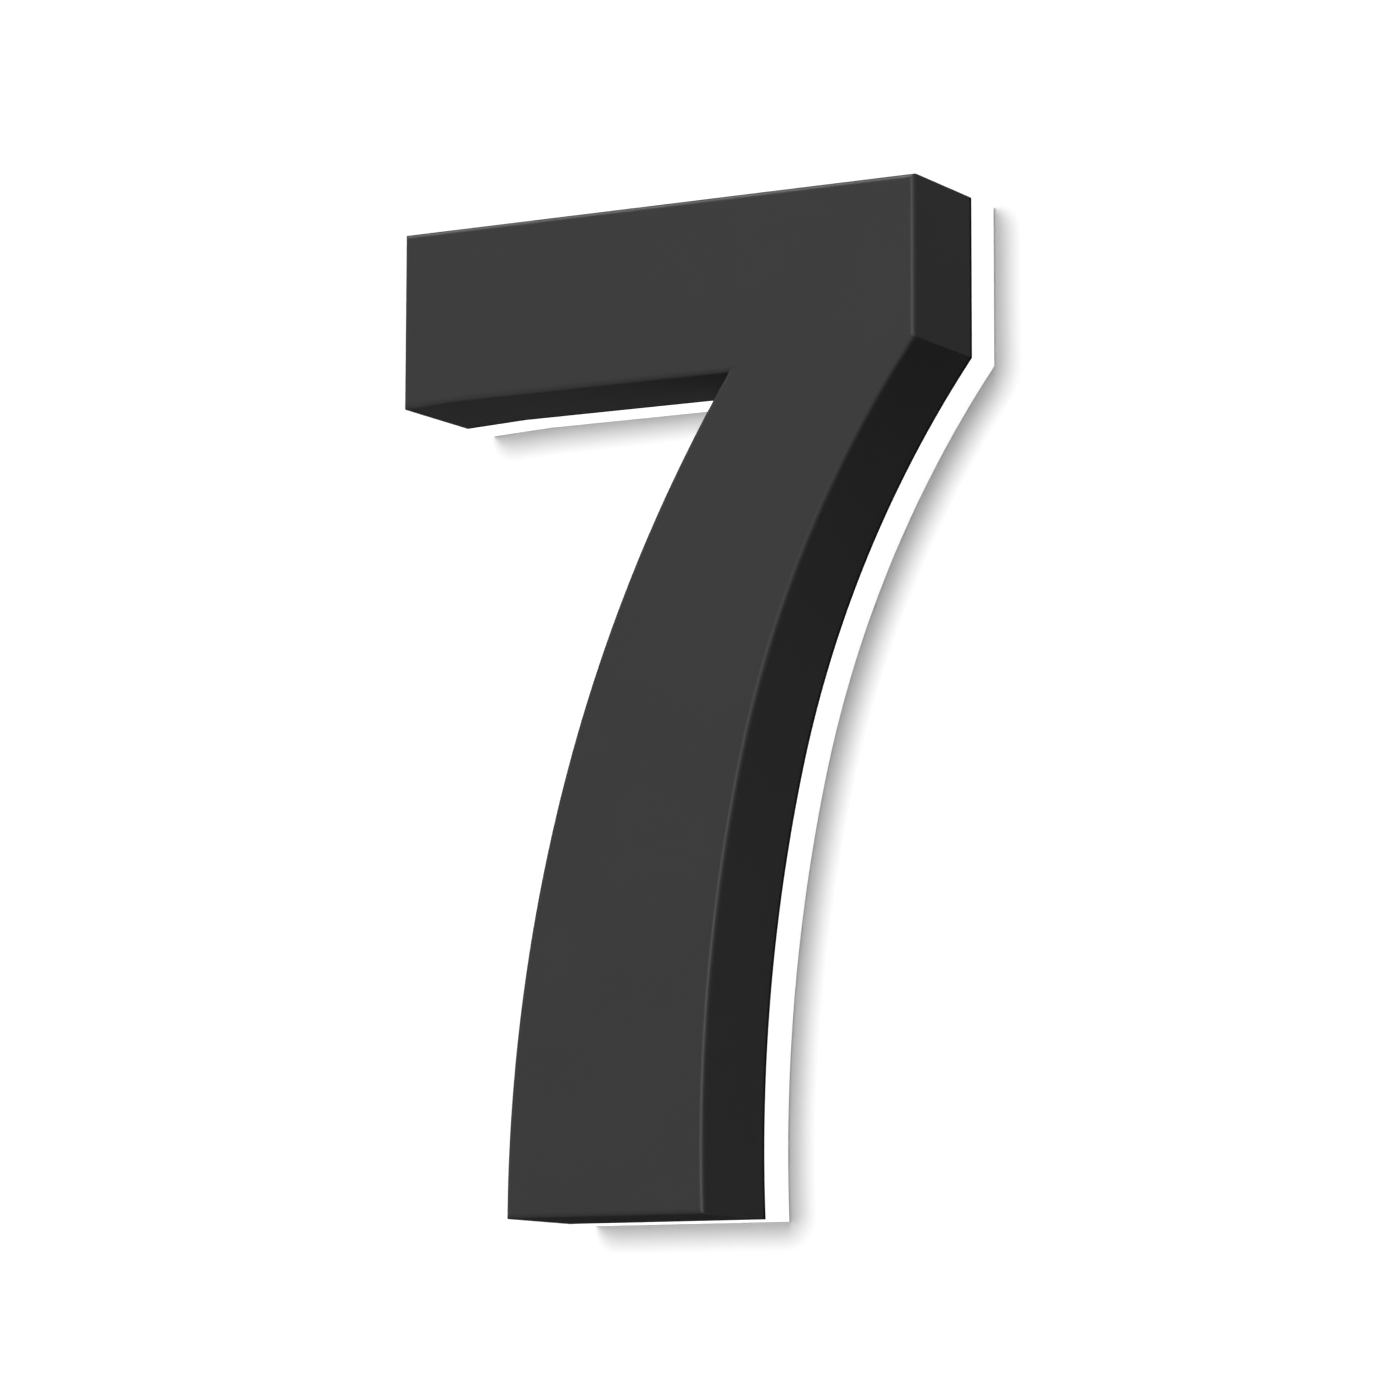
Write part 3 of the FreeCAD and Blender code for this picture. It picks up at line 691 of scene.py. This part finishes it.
def build_stage():
    """The wall and the floor."""
    stage_plane("wall", [
        (-STAGE_REACH, WALL_GAP, FLOOR_LEVEL),
        (STAGE_REACH, WALL_GAP, FLOOR_LEVEL),
        (STAGE_REACH, WALL_GAP, WALL_TOP),
        (-STAGE_REACH, WALL_GAP, WALL_TOP),
    ], stage_material("wall_paint", WALL_LIFT))
    stage_plane("floor", [
        (-STAGE_REACH, -STAGE_REACH, FLOOR_LEVEL),
        (STAGE_REACH, -STAGE_REACH, FLOOR_LEVEL),
        (STAGE_REACH, STAGE_REACH, FLOOR_LEVEL),
        (-STAGE_REACH, STAGE_REACH, FLOOR_LEVEL),
    ], stage_material("floor_paint", FLOOR_LIFT))


def build_world():
    """White where it is seen, and an even dim light for everything else."""
    world = bpy.data.worlds.new("studio")
    world.use_nodes = True
    tree = Tree(world.node_tree)
    strength = tree.math("MULTIPLY_ADD", tree.seen(), 1 - AMBIENT, AMBIENT)
    background = tree.add("ShaderNodeBackground", {"Strength": strength})
    tree.add("ShaderNodeOutputWorld", {"Surface": background.outputs[0]})
    bpy.context.scene.world = world


def build_lamp(name, azimuth, elevation, distance, width, watts, lit, only=None):
    """A round area lamp that faces the sign and lights one collection.

    Its distance and width are in metres, and it can be kept to diffuse or to glossy light only.
    """
    lamp = bpy.data.lights.new(name, "AREA")
    lamp.shape = "DISK"
    lamp.size = width
    lamp.energy = watts
    place = bpy.data.objects.new(name, lamp)
    place.location = direction(azimuth, elevation) * distance
    place.rotation_euler = direction(azimuth, elevation).to_track_quat("Z", "Y").to_euler()
    place.visible_camera = False
    place.visible_glossy = only != "diffuse"
    place.visible_diffuse = only != "glossy"
    place.light_linking.receiver_collection = lit
    bpy.context.scene.collection.objects.link(place)


def build_key(azimuth, elevation, spread, strength):
    """A large distant softbox, as wide as its spread in degrees, whose light falls on the stage too."""
    softbox = bpy.data.lights.new("key", "SUN")
    softbox.angle = radians(spread)
    softbox.energy = strength
    place = bpy.data.objects.new("key", softbox)
    place.rotation_euler = direction(azimuth, elevation).to_track_quat("Z", "Y").to_euler()
    place.visible_glossy = False
    bpy.context.scene.collection.objects.link(place)


def build_lamps():
    """A softbox a little left of and above the front, fills for the sides, and gleams for the edges."""
    build_key(azimuth=-3.9, elevation=3.8, spread=16, strength=2.78)
    build_lamp("overhead", 0, 75, distance=1.6, width=1.2, watts=6, lit=SIGN, only="diffuse")
    build_lamp("right_fill", 74, 46, distance=0.9, width=0.45, watts=3.8, lit=SHELL, only="diffuse")
    build_lamp("arm_fill", -86, -15, distance=0.5, width=0.12, watts=1.7, lit=SHELL, only="diffuse")
    build_lamp("behind", 180, 20, distance=2.4, width=1.8, watts=26, lit=SIGN)
    build_lamp("right_gleam", 36, 5, distance=2.0, width=0.8, watts=130, lit=SHELL, only="glossy")
    build_lamp("top_gleam", -65, 64, distance=2.0, width=1.6, watts=400, lit=SHELL, only="glossy")


def build_camera():
    """The camera at the photograph's viewpoint."""
    data = bpy.data.cameras.new("camera")
    data.lens = CAMERA_LENS
    data.sensor_width = CAMERA_SENSOR
    camera = bpy.data.objects.new("camera", data)
    back = direction(CAMERA_AZIMUTH, CAMERA_ELEVATION)
    place = (Vector(CAMERA_TARGET) + back * CAMERA_DISTANCE) * MM
    turn = back.to_track_quat("Z", "Y").to_matrix() @ Matrix.Rotation(radians(CAMERA_ROLL), 3, "Z")
    camera.matrix_world = Matrix.Translation(place) @ turn.to_4x4()
    bpy.context.scene.collection.objects.link(camera)
    bpy.context.scene.camera = camera


# Putting it together

def put(piece, node):
    """Makes a piece ride with the sign in place of a CAD node, with the finish of the node's slot."""
    slot = SLOTS[node]
    piece.data.materials.append(FINISHES[slot])
    SIGN.objects.link(piece)
    if slot == "black_powder_coat":
        SHELL.objects.link(piece)
    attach(piece, "root")
    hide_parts(node)


SIGN = bpy.data.collections.new("sign")
SHELL = bpy.data.collections.new("shell")
SLOTS = {row["node"]: row["material_slot"] for row in frame["record"]["subparts"]}

build_camera()
build_stage()
build_world()
build_lamps()

for name, node in frame["nodes"].items():
    node.data.materials.clear()
    node.data.materials.append(FINISHES[SLOTS[name]])
    SIGN.objects.link(node)

base = acrylic_layer()
base.light_linking.receiver_collection = SIGN
put(base, "acrylic_base")
put(face_plate(), "front_face")
put(return_strip(), "return_band")
put(bush_sleeve(), "cable_bush")
for side, centre in STUDS.items():
    put(threaded_stud("thread_" + side, centre), "stud_" + side)
    put(hexagon_nut("hexagon_" + side, centre), "nut_" + side)
    put(plain_washer("ring_" + side, centre), "washer_" + side)

bpy.context.scene.view_settings.view_transform = "Standard"
